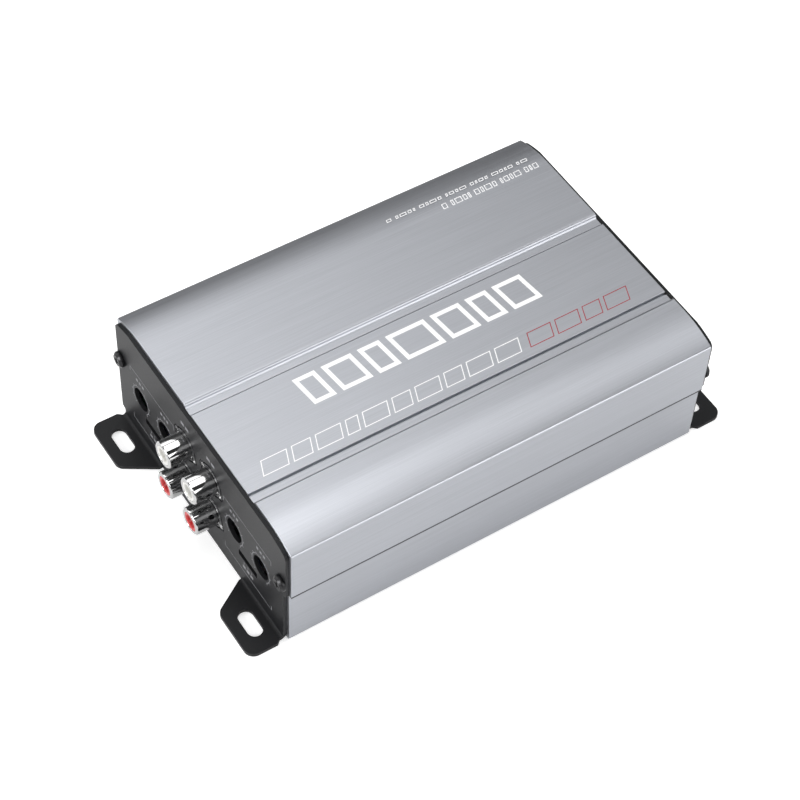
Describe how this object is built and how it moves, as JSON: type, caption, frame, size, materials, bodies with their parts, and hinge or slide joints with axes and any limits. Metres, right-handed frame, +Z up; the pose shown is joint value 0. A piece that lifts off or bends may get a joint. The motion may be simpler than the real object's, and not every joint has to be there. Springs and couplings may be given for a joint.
{
  "type": "car amplifier",
  "caption": "Compact car audio amplifier in a two-part silver aluminium extrusion with black slotted end plates, phono jacks, recessed level and filter controls and slide switches.",
  "frame": {"origin": "on the underside, at the middle of the footprint", "axes": "+Z up, +X towards the power and speaker end, -X towards the controls and signal jacks, +Y towards the side with the wide top wing"},
  "size_m": [0.16, 0.0936, 0.0436],
  "materials": {
    "silver": "brushed anodised, satin",
    "plate_black": "satin black paint",
    "screw_black": "black oxide",
    "board": "solder mask",
    "jack_chrome": "polished",
    "insulator_white": "smooth",
    "insulator_red": "smooth",
    "plastic_black": "fine moulded texture",
    "control_blue": "smooth",
    "steel": "zinc plated",
    "contact": "plated",
    "ferrite": "sintered",
    "iron_powder": "painted core",
    "copper": "enamelled wire",
    "spreader": "mill finish",
    "thermal": "silicone",
    "chip_black": "moulded epoxy",
    "sleeve": "shrink sleeve",
    "fuse_dark": "smooth",
    "lamp": "diffused"
  },
  "bodies": {
    "case": {"top_heatsink": "silver", "base_tray": "silver", "control_end_plate": "plate_black", "power_end_plate": "plate_black", "control_plate_screws": "screw_black", "power_plate_screws": "screw_black", "circuit_board": "board", "board_screws": "steel", "jack_housing": "plastic_black", "jack_shell_1": "jack_chrome", "jack_insulator_1": "insulator_white", "jack_contact_1": "contact", "jack_shell_2": "jack_chrome", "jack_insulator_2": "insulator_white", "jack_contact_2": "contact", "jack_shell_3": "jack_chrome", "jack_insulator_3": "insulator_red", "jack_contact_3": "contact", "jack_shell_4": "jack_chrome", "jack_insulator_4": "insulator_red", "jack_contact_4": "contact", "level_body_a": "control_blue", "filter_body_a": "control_blue", "filter_body_b": "control_blue", "level_body_b": "control_blue", "switch_body_a": "steel", "switch_body_b": "steel", "fuse_holder": "plastic_black", "fuse_case": "fuse_dark", "fuse_link": "steel", "harness_socket": "plastic_black", "harness_pins": "contact", "power_lamp": "lamp", "heat_spreader": "spreader", "spreader_screws": "steel", "thermal_strip": "thermal", "output_chip_a": "chip_black", "output_chip_b": "chip_black", "supply_transistor_a": "chip_black", "supply_transistor_b": "chip_black", "clamp_bar": "steel", "clamp_screws": "steel", "transformer_core": "ferrite", "transformer_winding": "copper", "choke_core": "iron_powder", "choke_winding": "copper", "output_coil_1": "ferrite", "output_coil_2": "ferrite", "output_coil_3": "ferrite", "output_coil_4": "ferrite", "reservoir_capacitor_1": "sleeve", "reservoir_capacitor_2": "sleeve", "reservoir_capacitor_3": "sleeve"},
    "level_rotor_a": {"level_rotor_a": "plastic_black"},
    "filter_rotor_a": {"filter_rotor_a": "plastic_black"},
    "filter_rotor_b": {"filter_rotor_b": "plastic_black"},
    "level_rotor_b": {"level_rotor_b": "plastic_black"},
    "switch_lever_a": {"switch_lever_a": "plastic_black"},
    "switch_lever_b": {"switch_lever_b": "plastic_black"}
  },
  "joints": [
    {"name": "level_turn_a", "type": "hinge", "parent": "case", "child": "level_rotor_a", "pos_m": [-0.064, 0.033, 0.0199], "axis": [1, 0, 0], "range_deg": [-140, 140]},
    {"name": "filter_turn_a", "type": "hinge", "parent": "case", "child": "filter_rotor_a", "pos_m": [-0.064, 0.019, 0.0199], "axis": [1, 0, 0], "range_deg": [-140, 140]},
    {"name": "filter_turn_b", "type": "hinge", "parent": "case", "child": "filter_rotor_b", "pos_m": [-0.064, -0.019, 0.0199], "axis": [1, 0, 0], "range_deg": [-140, 140]},
    {"name": "level_turn_b", "type": "hinge", "parent": "case", "child": "level_rotor_b", "pos_m": [-0.064, -0.033, 0.0199], "axis": [1, 0, 0], "range_deg": [-140, 140]},
    {"name": "switch_slide_a", "type": "slide", "parent": "case", "child": "switch_lever_a", "axis": [0, 1, 0], "range_m": [-0.002, 0.002]},
    {"name": "switch_slide_b", "type": "slide", "parent": "case", "child": "switch_lever_b", "axis": [0, 1, 0], "range_m": [-0.002, 0.002]}
  ]
}
